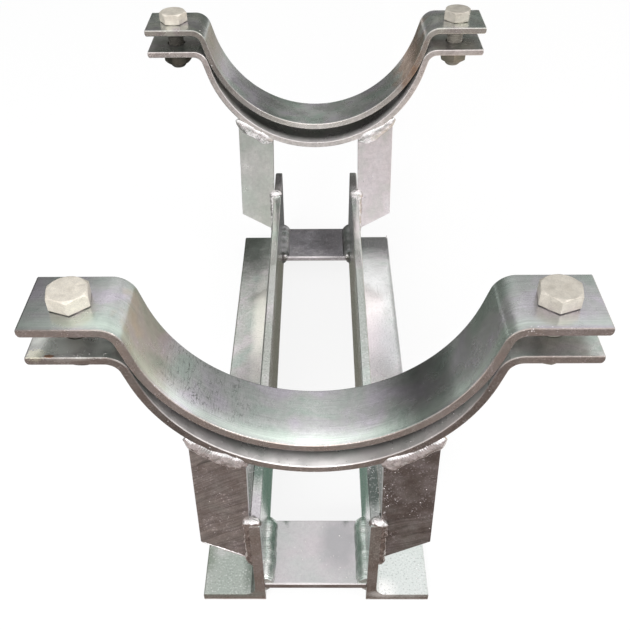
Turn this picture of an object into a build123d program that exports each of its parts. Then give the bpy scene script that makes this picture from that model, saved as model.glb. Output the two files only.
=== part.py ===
from build123d import *
import os
from math import asin, cos, degrees, radians, sin, tan

# A welded pipe slide: two angles form the sliding base, and four uprights carry two bent clamp straps.
# Millimetres. X goes across the pipe, Y along it, Z up. The origin is on the floor under the base's middle.

# The pipe, and where the two clamps hold it
pipe_outside_d = 219.1
seat_clearance = 0.05  # between pipe and strap, on the radius
pipe_axis_height = 276.0  # of a pipe in the welded saddles
clamp_inset = 1.5  # of each clamp's outer edge from the end of the base

# Clamp straps, of flat bar bent flatwise
strap_width = 50.0
strap_thickness = 6.0
strap_edge_radius = 1.0  # rolled edges of the flat bar
strap_reach = 168.0  # from the middle out to the end of a tab
tab_end_radius = 2.0  # rolled over by the shear along the lower edge of a tab's end
tab_drop = 10.0  # a tab's upper face lies this far below the pipe's axis
flank_lean = 16.5  # degrees between the straight flank and the vertical
shoulder_radius = 9.0  # inside the bend from flank to tab
stow_clearance = 0.05  # between the flanks of the nested straps

# Bolts and nuts
bolt_d = 16.0
bolt_length = 45.0
bolt_end_distance = 26.0  # of a bolt's axis from the end of its tab
bolt_hole_d = 18.0
head_height = 10.0
nut_height = 13.0
across_flats = 24.0  # of heads and nuts
corner_slope = 30.0  # degrees, of the cone that turns off a hexagon's corners
shank_chamfer = 1.5
thread_clearance = 0.1  # on the radius, between shank and nut
head_turns = {"front_left": -20.0, "front_right": 21.0, "rear_left": 1.0, "rear_right": 15.0}  # degrees
nut_turn = 12.0  # degrees, from its bolt's head

# Angles of the base
base_length = 500.0
base_gap = 80.0  # between the upright legs
leg_height = 100.0
foot_width = 50.0
angle_thickness = 8.0
root_radius = 8.0
toe_radius = 3.0

# Cross plates between the legs
cross_depth = 60.0
cross_thickness = 6.0
cross_lift = 17.0  # from the floor to a plate's underside
front_cross_inset = 0.0
rear_cross_inset = 3.0

# Uprights beside the legs
upright_width = 37.0
upright_thickness = 8.0
upright_setback = 4.0  # behind the strap's front edge
upright_foot = 51.5  # height of the raked lower edge beside the leg
upright_rise = 22.0  # of that edge, from the leg outward
upright_lean = 1.5  # degrees, of its long edges towards the middle, from the height of the leg's toe
fit_gap = 0.1  # between an upright's cut top and the strap

# Weld beads, each in the corner between two faces
strap_bead = 9.0  # down an upright's front face
strap_bead_back = 6.0  # behind an upright, along both faces
leg_bead = 5.0
leg_bead_tail = 3.0  # runs on below the upright's corner
leg_bead_lump = 5.5  # radius of the lump that ends the bead on the leg's toe
cross_bead = 6.0
cross_bead_under = 5.0
bead_bulge = 0.12  # of a bead's legs, outward from the flat

# What follows from these sizes
seat_radius = pipe_outside_d / 2 + seat_clearance
strap_back_radius = seat_radius + strap_thickness
clamp_spacing = base_length - 2 * clamp_inset - strap_width  # between the clamps' middles, along the pipe
bolt_spacing = 2 * (strap_reach - bolt_end_distance)
stow_rise = (strap_thickness + stow_clearance) / sin(radians(flank_lean))
leg_face = base_gap / 2 + angle_thickness
upright_edge = leg_face + upright_width
bolt_seat = pipe_axis_height - tab_drop + stow_rise
nut_seat = pipe_axis_height - tab_drop - strap_thickness

sides = {"left": -1, "right": 1}
ends = {"front": -clamp_spacing / 2, "rear": clamp_spacing / 2}


def strap_line(depth):
    """A strap's bent outline at this depth below its upper face, with the pipe's axis at the origin."""
    lean = radians(flank_lean)
    seat = seat_radius + depth
    tab = -tab_drop - depth
    corner = (seat + tab * sin(lean)) / cos(lean)
    shoulder = shoulder_radius + strap_thickness - depth
    keel = -seat / sin(lean)
    points = [(-strap_reach, tab), (-corner, tab), (0, keel), (corner, tab), (strap_reach, tab)]
    return FilletPolyline(*points, radius=[shoulder, seat, shoulder])


def clamp_strap():
    """One bent strap with a bolt hole in each tab; the pipe's axis is the Y axis."""
    upper = strap_line(0)
    lower = strap_line(strap_thickness)
    tab_ends = [Line(upper @ 0, lower @ 0), Line(upper @ 1, lower @ 1)]
    outline = make_face([*upper.edges(), *lower.edges(), *tab_ends])
    sheared = outline.vertices().filter_by(lambda corner: abs(corner.Y + tab_drop + strap_thickness) < 1e-6)
    outline = fillet([sheared.sort_by(Axis.X)[0], sheared.sort_by(Axis.X)[-1]], tab_end_radius)
    bar = extrude(Plane.XZ * outline, strap_width / 2, both=True)
    by_depth = bar.edges().group_by(Axis.Y)
    bar = fillet([*by_depth[0], *by_depth[-1]], strap_edge_radius)
    hole = Cylinder(bolt_hole_d / 2, 3 * strap_thickness)
    for side in sides.values():
        bar -= Pos(side * bolt_spacing / 2, 0, -tab_drop - strap_thickness / 2) * hole
    return bar


def turned_hexagon(height, cone_below):
    """A slice of hexagon bar from Z 0 up, its corners turned off by a cone above, and below too if asked."""
    flat = across_flats / 2
    corner = flat / cos(radians(30))
    fall = (corner - flat) * tan(radians(corner_slope))
    top = [(corner, height - fall), (flat, height), (0, height)]
    base = [(0, 0), (flat, 0), (corner, fall)] if cone_below else [(0, 0), (corner, 0)]
    turned = revolve(Plane.XZ * make_face(Polyline(*base, *top, close=True)), Axis.Z)
    return turned & extrude(RegularPolygon(corner, 6), height)


def bolt():
    """A hexagon bolt with the seat of its head at Z 0 and its shank pointing down."""
    shank = Pos(0, 0, -bolt_length / 2) * Cylinder(bolt_d / 2 - thread_clearance, bolt_length)
    shank = chamfer(shank.edges().sort_by(Axis.Z)[0], shank_chamfer)
    return turned_hexagon(head_height, False) + shank


def nut():
    """A hexagon nut under its seat at Z 0."""
    body = Pos(0, 0, -nut_height) * turned_hexagon(nut_height, True)
    return body - Pos(0, 0, -nut_height / 2) * Cylinder(bolt_d / 2, 2 * nut_height)


def angle():
    """The right-hand angle: its long leg upright beside the gap, its short one outward as a foot."""
    inside = base_gap / 2
    leg = Pos(inside + angle_thickness / 2, leg_height / 2) * Rectangle(angle_thickness, leg_height)
    foot = Pos(inside + foot_width / 2, angle_thickness / 2) * Rectangle(foot_width, angle_thickness)
    section = leg + foot
    root = section.vertices().sort_by_distance((leg_face, angle_thickness))[0]
    section = fillet(root, root_radius)
    foot_toe = section.vertices().sort_by_distance((inside + foot_width, angle_thickness))[0]
    leg_toe = section.vertices().group_by(Axis.Y)[-1]
    section = fillet([foot_toe, *leg_toe], toe_radius)
    return extrude(Plane.XZ * section, base_length / 2, both=True)


def cross_plate():
    """A plate between the legs, with its underside on Z 0 and its front edge on Y 0."""
    return Pos(0, cross_depth / 2, cross_thickness / 2) * Box(base_gap, cross_depth, cross_thickness)


def upright_band():
    """The leaning band of flat bar in the XZ plane that the right-hand upright is cut from."""
    corners = [
        (leg_face, upright_foot),
        (upright_edge, upright_foot + upright_rise),
        (upright_edge, pipe_axis_height),
        (leg_face, pipe_axis_height),
    ]
    slope = tan(radians(upright_lean))
    leaning = [(x - (z - leg_height) * slope, z) for x, z in corners]
    return make_face(Polyline(*leaning, close=True))


def upright():
    """The right-hand upright with its front face on Y 0, its top cut to the saddle strap."""
    strap_room = Pos(0, pipe_axis_height) * Circle(strap_back_radius + fit_gap)
    return extrude(Plane.XZ * (upright_band() - strap_room), -upright_thickness)


def bead_section(along, up):
    """A fillet weld's section, its legs along the plane's two axes from the corner at the origin."""
    face = ThreePointArc((along, 0), ((0.5 + bead_bulge) * along, (0.5 + bead_bulge) * up), (0, up))
    return make_face([Line((0, 0), (along, 0)), face, Line((0, up), (0, 0))])


def strap_weld(out, down):
    """The bead under the saddle strap along the right-hand upright's face on Y 0, reaching out along Y."""
    section = Plane.YZ * Pos(0, -strap_back_radius - fit_gap) * bead_section(out, -down)
    stop = degrees(asin(upright_edge / strap_back_radius))
    outward = Axis((0, 0, 0), (0, -1, 0))
    bead = Pos(0, 0, pipe_axis_height) * revolve(section, outward, stop)
    return bead & extrude(Plane.XZ * upright_band(), 2 * abs(out), both=True)


def leg_weld(out, carriers):
    """The bead up the right-hand leg at the upright's face on Y 0, with a lump over the leg's toe."""
    foot = upright_foot - leg_bead_tail
    climb = leg_height - toe_radius - foot
    run = Pos(leg_face, 0, foot) * extrude(bead_section(leg_bead, out), climb, dir=(0, 0, 1))
    lump = Pos(leg_face - leg_bead / 2, 0, leg_height - toe_radius / 2) * Sphere(leg_bead_lump)
    beyond = abs(out) if abs(out) < leg_bead else leg_bead_lump
    outward = 1 if out > 0 else -1
    room = Box(4 * leg_bead, upright_thickness / 2 + beyond, 4 * leg_bead_lump)
    lump = lump - carriers & Pos(leg_face, outward * (beyond - upright_thickness / 2) / 2, leg_height) * room
    return run + lump


def cross_welds():
    """The beads over and under a cross plate's right-hand edge, for a plate placed like cross_plate."""
    sections = {
        "over": Pos(base_gap / 2, cross_thickness) * bead_section(-cross_bead, cross_bead),
        "under": Pos(base_gap / 2, 0) * bead_section(-cross_bead_under, -cross_bead_under),
    }
    return {name: extrude(Plane.XZ * part, cross_depth, dir=(0, 1, 0)) for name, part in sections.items()}


def on_side(solid, side):
    """A right-hand piece as it is, or its mirror image on the left."""
    return solid if side == "right" else mirror(solid, Plane.YZ)


def base_nodes():
    """The angles, the cross plates and the beads between them."""
    nodes = {}
    cross_fronts = {
        "front": -base_length / 2 + front_cross_inset,
        "rear": base_length / 2 - rear_cross_inset - cross_depth,
    }
    for side in sides:
        nodes[f"angle_{side}"] = on_side(angle(), side)
    for end, front in cross_fronts.items():
        place = Pos(0, front, cross_lift)
        nodes[f"cross_plate_{end}"] = place * cross_plate()
        for name, bead in cross_welds().items():
            for side in sides:
                nodes[f"cross_weld_{name}_{end}_{side}"] = place * on_side(bead, side)
    return nodes


def upright_nodes():
    """The uprights and the beads that join them to the straps and the legs."""
    nodes = {}
    for end, clamp_middle in ends.items():
        front = clamp_middle - strap_width / 2 + upright_setback
        room = min(leg_bead, front + base_length / 2)
        standing = upright()
        carriers = [standing, Pos(0, -front, 0) * angle()]
        behind = Pos(0, upright_thickness, 0)
        carriers_from_behind = [behind.inverse() * carrier for carrier in carriers]
        pieces = {
            "upright": standing,
            "strap_weld_front": strap_weld(-upright_setback, strap_bead),
            "strap_weld_back": behind * strap_weld(strap_bead_back, strap_bead_back),
            "leg_weld_front": leg_weld(-room, carriers),
            "leg_weld_back": behind * leg_weld(leg_bead, carriers_from_behind),
        }
        for name, piece in pieces.items():
            for side in sides:
                nodes[f"{name}_{end}_{side}"] = Pos(0, front, 0) * on_side(piece, side)
    return nodes


def clamp_nodes():
    """The welded saddle straps, the cap straps stowed in them, and the bolts through both."""
    nodes = {}
    for end, clamp_middle in ends.items():
        nodes[f"saddle_strap_{end}"] = Pos(0, clamp_middle, pipe_axis_height) * clamp_strap()
        nodes[f"cap_strap_{end}"] = Pos(0, clamp_middle, pipe_axis_height + stow_rise) * clamp_strap()
        for side, sign in sides.items():
            corner = f"{end}_{side}"
            place = Pos(sign * bolt_spacing / 2, clamp_middle, 0)
            turn = head_turns[corner]
            nodes[f"bolt_{corner}"] = place * Pos(0, 0, bolt_seat) * Rot(0, 0, turn) * bolt()
            nodes[f"nut_{corner}"] = place * Pos(0, 0, nut_seat) * Rot(0, 0, turn + nut_turn) * nut()
    return nodes


os.makedirs("parts", exist_ok=True)
for name, solid in {**base_nodes(), **upright_nodes(), **clamp_nodes()}.items():
    export_step(solid, f"parts/{name}.step")
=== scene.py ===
import bmesh
import bpy
import math
import random
from mathutils import Matrix, Vector


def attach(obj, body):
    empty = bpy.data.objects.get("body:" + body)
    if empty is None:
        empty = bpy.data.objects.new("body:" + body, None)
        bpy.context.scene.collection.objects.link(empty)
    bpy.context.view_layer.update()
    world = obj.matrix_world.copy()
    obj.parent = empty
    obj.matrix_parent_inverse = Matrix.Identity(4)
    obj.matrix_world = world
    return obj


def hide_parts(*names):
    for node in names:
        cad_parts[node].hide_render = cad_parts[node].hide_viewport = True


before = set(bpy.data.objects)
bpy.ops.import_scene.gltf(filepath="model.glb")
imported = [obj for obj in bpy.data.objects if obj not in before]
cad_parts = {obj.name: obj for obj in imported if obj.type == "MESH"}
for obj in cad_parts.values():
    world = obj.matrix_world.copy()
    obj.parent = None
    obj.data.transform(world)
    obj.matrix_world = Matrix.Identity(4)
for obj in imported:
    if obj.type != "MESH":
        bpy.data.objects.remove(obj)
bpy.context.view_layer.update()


# The viewpoint. The slide is seen from above its front end, close enough for the front clamp to look
# much larger than the rear one.
camera_place = (0.00343, -0.57744, 0.57390)
camera_turn = math.radians(1.096)
camera_tip = math.radians(90 - 42.594)
camera_roll = math.radians(-0.911)


def placed(name, data):
    """A new object in the scene that holds this mesh, lamp or camera."""
    thing = bpy.data.objects.new(name, data)
    bpy.context.scene.collection.objects.link(thing)
    return thing


camera_data = bpy.data.cameras.new("camera")
camera_data.sensor_width = 36
camera_data.lens = 44.65
camera_data.shift_x = 0.0105
camera_data.shift_y = 0.056
camera_data.clip_end = 20
camera = placed("camera", camera_data)
camera.matrix_world = (
    Matrix.Translation(camera_place)
    @ Matrix.Rotation(camera_turn, 4, "Z")
    @ Matrix.Rotation(camera_tip, 4, "X")
    @ Matrix.Rotation(camera_roll, 4, "Z")
)
bpy.context.scene.camera = camera


# The sliding angles: two hot-rolled unequal angles, sawn to length, with their long legs upright and facing
# each other and their feet outward on the steel below. The whole weldment was dipped in zinc, which set
# satin grey with greenish and lilac clouds, fine grain and small pimples.
base_half = 0.25
gap_half = 0.04
leg_height = 0.1
foot_width = 0.05
angle_thickness = 0.008
root_radius = 0.008
toe_radius = 0.002
heel_radius = 0.001
heel_sole_radius = 0.0005
foot_sole_radius = 0.0006
angle_edge = 0.0005
sides = {"left": -1, "right": 1}


def add(tree, kind, inputs=None, **settings):
    """A new node in a tree. Its inputs, by name or number, are values, or nodes or sockets to link from."""
    node = tree.nodes.new(kind)
    for name, value in settings.items():
        setattr(node, name, value)
    for name, value in (inputs or {}).items():
        if isinstance(value, bpy.types.Node):
            value = value.outputs[0]
        if isinstance(value, bpy.types.NodeSocket):
            tree.links.new(value, node.inputs[name])
        else:
            node.inputs[name].default_value = value
    return node


def noise(tree, place, scale, detail, distortion=0.0):
    """Soft random clouds over a place, smaller as the scale rises."""
    inputs = {"Vector": place, "Scale": scale, "Detail": detail, "Distortion": distortion}
    return add(tree, "ShaderNodeTexNoise", inputs)


def maths(tree, operation, *numbers):
    """A number worked out from one or two others."""
    return add(tree, "ShaderNodeMath", dict(enumerate(numbers)), operation=operation).outputs[0]


def vector_maths(tree, operation, *vectors):
    """A vector worked out from one or two others."""
    return add(tree, "ShaderNodeVectorMath", dict(enumerate(vectors)), operation=operation).outputs[0]


def times(tree, product, *factors):
    """All these numbers multiplied."""
    for factor in factors:
        product = maths(tree, "MULTIPLY", product, factor)
    return product


def split(tree, vector):
    """The X, Y and Z of a vector, by name."""
    return add(tree, "ShaderNodeSeparateXYZ", {0: vector}).outputs


def point(tree, x=0.0, y=0.0, z=0.0):
    """A vector made of three numbers."""
    return add(tree, "ShaderNodeCombineXYZ", {"X": x, "Y": y, "Z": z}).outputs[0]


def ranged(tree, value, low, high, to_low=0.0, to_high=1.0):
    """The value, carried from low..high to the other range and held inside it."""
    ends = {"Value": value, "From Min": low, "From Max": high, "To Min": to_low, "To Max": to_high}
    return add(tree, "ShaderNodeMapRange", ends).outputs[0]


def blended(tree, share, below, above):
    """The colour above laid over the colour below by a share; each is a socket or three numbers."""
    inputs = {0: share}
    for place, colour in ((6, below), (7, above)):
        inputs[place] = (*colour, 1) if isinstance(colour, tuple) else colour
    return add(tree, "ShaderNodeMix", inputs, data_type="RGBA").outputs[2]


def lit(tree, colour, light):
    """The colour, lighter or darker by a factor."""
    return vector_maths(tree, "MULTIPLY", colour, point(tree, light, light, light))


def stain_and_light_patch(tree, place, colour, patch, grain=700, soft=0.35, ragged=0.35):
    """The colour under an uneven patch, a stain on some pieces and painted light and shade on others: a
    centre, a reach along each axis, a tint and a share.
    """
    centre, reach, tint, share = patch
    away = vector_maths(tree, "DIVIDE", vector_maths(tree, "SUBTRACT", place, centre), reach)
    away = add(tree, "ShaderNodeVectorMath", {0: away}, operation="LENGTH").outputs["Value"]
    uneven = ranged(tree, noise(tree, place, grain, 3), 0.3, 0.7, -ragged, ragged)
    inside = ranged(tree, maths(tree, "ADD", away, uneven), 1.1 - soft, 1.1, 1, 0)
    return blended(tree, times(tree, inside, share), colour, tint)


def painted_light(patches):
    """A touch that lays soft patches of painted light and shade over a coat."""
    def touch(tree, place, facing, colour):
        for patch in patches:
            colour = stain_and_light_patch(tree, place, colour, patch, 70, 0.7, 0.14)
        return colour
    return touch


def clouded(tree, place, scale, tints):
    """Clouds of three tints that run into one another."""
    ramp = add(tree, "ShaderNodeValToRGB", {"Fac": noise(tree, place, scale, 4, 0.5)})
    ramp.color_ramp.elements[0].position = 0.36
    ramp.color_ramp.elements[1].position = 0.64
    ramp.color_ramp.elements.new(0.5)
    for element, tint in zip(ramp.color_ramp.elements, tints):
        element.color = (*tint, 1)
    return ramp.outputs[0]


def painted_front_faces(tree, place, facing, colour, tint):
    """The colour, turned to a painted reflection tint on the faces towards -Y, dark as shade on most pieces,
    with pale specks there.
    """
    forward = ranged(tree, facing["Y"], -0.2, -0.55)
    patchy = ranged(tree, noise(tree, place, 75, 5), 0.3, 0.62, 0.7, 1)
    colour = blended(tree, times(tree, forward, patchy), colour, tint)
    specks = ranged(tree, noise(tree, place, 820, 1), 0.63, 0.7)
    gathered = ranged(tree, noise(tree, place, 60, 3), 0.4, 0.62, 0.1, 0.75)
    specks = times(tree, specks, gathered)
    return blended(tree, times(tree, forward, specks), colour, (0.86, 0.80, 0.82))


def sparkling(tree, place, colour, share):
    """The colour with painted glints of the zinc's crystals: fine bright and dark specks."""
    glint_field = noise(tree, place, 620, 2)
    for low, high, tint in ((0.56, 0.7, (1, 0.98, 0.98)), (0.44, 0.3, (0.10, 0.11, 0.10))):
        colour = blended(tree, times(tree, ranged(tree, glint_field, low, high), share), colour, tint)
    return colour


def pimpled(tree, place, grain, relief):
    """The unevenness of a dipped coat: its swells, its grain and scattered pimples."""
    swell = noise(tree, place, 130, 3)
    cells = add(tree, "ShaderNodeTexVoronoi", {"Vector": place, "Scale": 300, "Randomness": 1})
    scattered = ranged(tree, noise(tree, place, 90, 2), 0.55, 0.7)
    pimples = times(tree, ranged(tree, cells, 0.0, 0.3, 1, 0), scattered)
    bump = None
    for height, strength, distance in (
        (swell, 1.0, 0.0002 * relief), (grain, 0.6, 0.00003), (pimples, 1.0, 0.00012 * relief),
    ):
        inputs = {"Height": height, "Strength": strength, "Distance": distance}
        if bump:
            inputs["Normal"] = bump
        bump = add(tree, "ShaderNodeBump", inputs)
    return bump.outputs[0]


def new_finish(name):
    """A new material and its tree of nodes."""
    material = bpy.data.materials.new(name)
    material.use_nodes = True
    return material, material.node_tree


def zinc(
    name, tints, rough=(0.26, 0.4), cloud=34, relief=1.0, metal=0.88, front=None, touch=None, sparks=0.0,
):
    """A dipped zinc coat in clouds of three tints, mottled and pimpled; front is a painted reflection tint
    for the faces towards -Y, dark as painted shade on most pieces.

    A touch is a piece's own change to the colour, worked out from the place and the way that a face looks.
    """
    material, tree = new_finish(name)
    shader = tree.nodes["Principled BSDF"]
    shader.inputs["Metallic"].default_value = metal
    spot = add(tree, "ShaderNodeTexCoord").outputs
    place = spot["Object"]
    facing = split(tree, spot["Normal"])
    colour = clouded(tree, place, cloud, tints)
    if front:
        colour = painted_front_faces(tree, place, facing, colour, front)
    mottle = noise(tree, place, 260, 4)
    mottle = ranged(tree, mottle, 0.3, 0.7, 0.99 - 0.13 * relief, 1.01 + 0.09 * relief)
    grain = noise(tree, place, 1500, 2)
    fine = ranged(tree, grain, 0.3, 0.7, 0.96 - 0.11 * relief, 1.04 + 0.11 * relief)
    colour = lit(tree, colour, times(tree, mottle, fine))
    if touch:
        colour = touch(tree, place, facing, colour)
    if sparks:
        colour = sparkling(tree, place, colour, sparks)
    roughness = ranged(tree, noise(tree, place, 55, 6), 0.32, 0.68, *rough)
    tree.links.new(colour, shader.inputs["Base Color"])
    tree.links.new(roughness, shader.inputs["Roughness"])
    tree.links.new(pimpled(tree, place, grain, relief), shader.inputs["Normal"])
    return material


def recipe(name, sizes):
    """A new geometry tree that takes a start shape and these named sizes, with its input node's sockets."""
    tree = bpy.data.node_groups.new(name, "GeometryNodeTree")
    tree.interface.new_socket("Start", in_out="INPUT", socket_type="NodeSocketGeometry")
    for size, kind in {**sizes, "Finish": "Material"}.items():
        tree.interface.new_socket(size, in_out="INPUT", socket_type="NodeSocket" + kind)
    tree.interface.new_socket("Piece", in_out="OUTPUT", socket_type="NodeSocketGeometry")
    return tree, tree.nodes.new("NodeGroupInput").outputs


def noted(tree, name):
    """The number that was kept at each point under a name."""
    return add(tree, "GeometryNodeInputNamedAttribute", {"Name": name}).outputs[0]


def rounded(tree, wire, count):
    """The wire as a curve, each of its points turned to an arc of the bend radius that it holds."""
    inputs = {"Curve": add(tree, "GeometryNodeMeshToCurve", {"Mesh": wire}), "Count": count}
    return add(tree, "GeometryNodeFilletCurve", {**inputs, "Radius": noted(tree, "bend")}, mode="POLY")


def close_recipe(tree, shape, finish):
    """Ends a tree: real geometry in its finish."""
    real = add(tree, "GeometryNodeRealizeInstances", {"Geometry": shape})
    coated = add(tree, "GeometryNodeSetMaterial", {"Geometry": real, "Material": finish})
    tree.links.new(coated.outputs[0], tree.nodes.new("NodeGroupOutput").inputs[0])


def baked(piece):
    """The piece with its modifiers turned into plain mesh."""
    made = piece.evaluated_get(bpy.context.evaluated_depsgraph_get())
    mesh = bpy.data.meshes.new_from_object(made)
    piece.modifiers.clear()
    piece.data = mesh
    return piece


def grown(name, tree, start, sizes):
    """The plain mesh piece that a tree makes from a start mesh with these sizes."""
    piece = placed(name, start)
    maker = piece.modifiers.new("maker", "NODES")
    maker.node_group = tree
    for item in tree.interface.items_tree:
        if item.in_out == "INPUT" and item.name in sizes:
            maker[item.identifier] = sizes[item.name]
    return baked(piece)


def outline_mesh(name, points, bends, closed):
    """A wire of straight runs that keeps a number at each point, its bend radius or its swell."""
    mesh = bpy.data.meshes.new(name)
    count = len(points)
    runs = [(i, (i + 1) % count) for i in range(count if closed else count - 1)]
    mesh.from_pydata(points, runs, [])
    mesh.attributes.new("bend", "FLOAT", "POINT").data.foreach_set("value", bends)
    return mesh


def settle(piece, node=None, bevel=0.0, crease=50):
    """Turns a piece's faces outward, rounds its sharp edges, and puts it in the place of a CAD node."""
    work = bmesh.new()
    work.from_mesh(piece.data)
    bmesh.ops.remove_doubles(work, verts=work.verts, dist=1e-7)
    bmesh.ops.recalc_face_normals(work, faces=work.faces)
    work.to_mesh(piece.data)
    work.free()
    if bevel:
        rounding = piece.modifiers.new("rounding", "BEVEL")
        rounding.width = bevel
        rounding.segments = 2
        rounding.limit_method = "ANGLE"
        rounding.angle_limit = math.radians(40)
        baked(piece)
    piece.data.polygons.foreach_set("use_smooth", [True] * len(piece.data.polygons))
    piece.data.set_sharp_from_angle(angle=math.radians(crease))
    flat_faces = piece.modifiers.new("flat_faces", "WEIGHTED_NORMAL")
    flat_faces.keep_sharp = True
    baked(piece)
    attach(piece, "root")
    if node:
        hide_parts(node)


# The left foot is dark green in front and pale in its middle, the right one whiter, and both dark behind:
# partly the zinc's own tone and partly painted light. The patches are painted shade near the roots, on the
# toes under the clamps and at the rear ends, and painted reflection on the toes' front ends and the feet's
# middles; the front ends are painted brown as shade.
angle_zinc = {
    "left": zinc(
        "left_angle_zinc", [(0.54, 0.60, 0.56), (0.62, 0.63, 0.60), (0.70, 0.66, 0.67)],
        rough=(0.14, 0.24), relief=0.3, front=(0.35, 0.295, 0.26), sparks=0.28, touch=painted_light([
            ((-0.070, -0.232, 0.008), (0.040, 0.045, 0.006), (0.38, 0.42, 0.38), 0.9),
            ((-0.054, -0.222, 0.010), (0.006, 0.030, 0.008), (0.18, 0.21, 0.18), 0.9),
            ((-0.090, -0.214, 0.008), (0.010, 0.020, 0.006), (0.22, 0.26, 0.21), 0.8),
            ((-0.057, -0.140, 0.008), (0.011, 0.060, 0.016), (0.13, 0.14, 0.13), 0.85),
            ((-0.062, 0.085, 0.008), (0.010, 0.105, 0.006), (0.92, 0.89, 0.85), 0.9),
            ((-0.080, 0.240, 0.008), (0.035, 0.080, 0.010), (0.14, 0.16, 0.14), 0.9),
            ((-0.044, -0.232, 0.100), (0.009, 0.018, 0.008), (0.64, 0.60, 0.64), 0.9),
            ((-0.044, -0.196, 0.100), (0.009, 0.020, 0.008), (0.13, 0.19, 0.16), 0.88),
            ((-0.044, 0.056, 0.100), (0.009, 0.050, 0.008), (0.64, 0.65, 0.62), 0.85),
            ((-0.044, -0.060, 0.100), (0.009, 0.060, 0.008), (0.44, 0.46, 0.42), 0.8),
            ((-0.044, 0.235, 0.100), (0.010, 0.022, 0.010), (0.20, 0.18, 0.20), 0.8),
        ]),
    ),
    "right": zinc(
        "right_angle_zinc", [(0.62, 0.68, 0.64), (0.70, 0.72, 0.70), (0.78, 0.74, 0.76)],
        rough=(0.14, 0.24), relief=0.3, front=(0.28, 0.235, 0.205), sparks=0.28, touch=painted_light([
            ((0.070, -0.232, 0.008), (0.040, 0.045, 0.006), (0.75, 0.79, 0.77), 0.9),
            ((0.054, -0.246, 0.008), (0.012, 0.012, 0.006), (1.0, 1.0, 0.98), 0.9),
            ((0.057, -0.140, 0.008), (0.011, 0.060, 0.016), (0.13, 0.14, 0.13), 0.85),
            ((0.066, 0.130, 0.008), (0.032, 0.095, 0.006), (1.0, 1.0, 1.0), 1.0),
            ((0.070, 0.040, 0.008), (0.035, 0.060, 0.006), (0.72, 0.70, 0.73), 0.8),
            ((0.090, 0.090, 0.008), (0.005, 0.150, 0.006), (0.34, 0.35, 0.34), 0.75),
            ((0.080, 0.238, 0.008), (0.050, 0.040, 0.010), (0.15, 0.15, 0.15), 0.88),
            ((0.044, -0.212, 0.100), (0.009, 0.040, 0.008), (0.07, 0.09, 0.08), 0.95),
            ((0.044, 0.000, 0.100), (0.009, 0.120, 0.008), (0.46, 0.48, 0.45), 0.8),
            ((0.044, 0.235, 0.100), (0.010, 0.022, 0.010), (0.24, 0.22, 0.22), 0.8),
        ]),
    ),
}

rolled_angle, sizes = recipe("rolled_angle", {"Length": "Float"})
tree = rolled_angle
section = rounded(tree, sizes["Start"], 6)
half = times(tree, sizes["Length"], 0.5)
run = {"Start": point(tree, y=times(tree, half, -1.0)), "End": point(tree, y=half)}
run = add(tree, "GeometryNodeCurvePrimitiveLine", run)
bar = add(tree, "GeometryNodeCurveToMesh", {"Curve": run, "Profile Curve": section, "Fill Caps": True})
close_recipe(tree, bar, sizes["Finish"])

for side, sign in sides.items():
    corners = [
        (gap_half, 0, heel_sole_radius),
        (gap_half + foot_width, 0, foot_sole_radius),
        (gap_half + foot_width, angle_thickness, toe_radius),
        (gap_half + angle_thickness, angle_thickness, root_radius),
        (gap_half + angle_thickness, leg_height, toe_radius),
        (gap_half, leg_height, heel_radius),
    ]
    points = [(sign * across, -up, 0) for across, up, radius in corners]
    wire = outline_mesh("angle_section", points, [radius for across, up, radius in corners], True)
    angle = grown("sliding_angle_" + side, rolled_angle, wire, {
        "Length": 2 * base_half, "Finish": angle_zinc[side],
    })
    settle(angle, "angle_" + side, bevel=angle_edge)


# The cross plates: two flats welded between the upright legs, one flush with their front ends and one just
# short of their rear ends, both clear of the steel that the feet slide on.
cross_depth = 0.06
cross_bottom = 0.017
cross_thickness = 0.006
cross_edge = 0.0008
cross_fronts = {"front": -0.25, "rear": 0.187}


def surface(name, points, faces, finish):
    """A piece of plain faces between points, in one finish."""
    mesh = bpy.data.meshes.new(name)
    mesh.from_pydata(points, [], faces)
    mesh.materials.append(finish)
    return placed(name, mesh)


def plate(name, outline, front, depth, finish):
    """A flat plate: an outline in X and Z, carried back along Y."""
    count = len(outline)
    near = [(x, front, z) for x, z in outline]
    far = [(x, front + depth, z) for x, z in outline]
    rim = [(i, (i + 1) % count, count + (i + 1) % count, count + i) for i in range(count)]
    return surface(name, near + far, [tuple(range(count)), tuple(range(count, 2 * count)), *rim], finish)


# The plates' coats hold painted light: a painted highlight along each top front edge, painted shade on the
# right part of each, and the rear plate in darker tints as painted shade.
plate_zinc = {
    "front": zinc(
        "front_plate_zinc", [(0.52, 0.55, 0.53), (0.57, 0.57, 0.57), (0.61, 0.57, 0.59)],
        rough=(0.13, 0.22), relief=0.2, cloud=17, front=(0.30, 0.26, 0.24), touch=painted_light([
            ((0, -0.2498, 0.0229), (0.060, 0.0014, 0.0012), (1.0, 0.95, 0.96), 0.9),
            ((0.020, -0.210, 0.023), (0.020, 0.035, 0.004), (0.41, 0.41, 0.42), 0.75),
        ]),
    ),
    "rear": zinc(
        "rear_plate_zinc", [(0.28, 0.27, 0.29), (0.34, 0.32, 0.35), (0.42, 0.40, 0.42)],
        rough=(0.16, 0.28), relief=0.6, front=(0.34, 0.31, 0.31), sparks=0.15, touch=painted_light([
            ((0, 0.1871, 0.0227), (0.060, 0.0016, 0.0016), (1.0, 0.94, 0.96), 0.95),
            ((0.020, 0.222, 0.023), (0.026, 0.045, 0.005), (0.15, 0.14, 0.15), 0.85),
        ]),
    ),
}
for end, front in cross_fronts.items():
    low, high = cross_bottom, cross_bottom + cross_thickness
    outline = [(-gap_half, low), (gap_half, low), (gap_half, high), (-gap_half, high)]
    cross = plate("cross_flat_" + end, outline, front, cross_depth, plate_zinc[end])
    settle(cross, "cross_plate_" + end, bevel=cross_edge)
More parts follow.
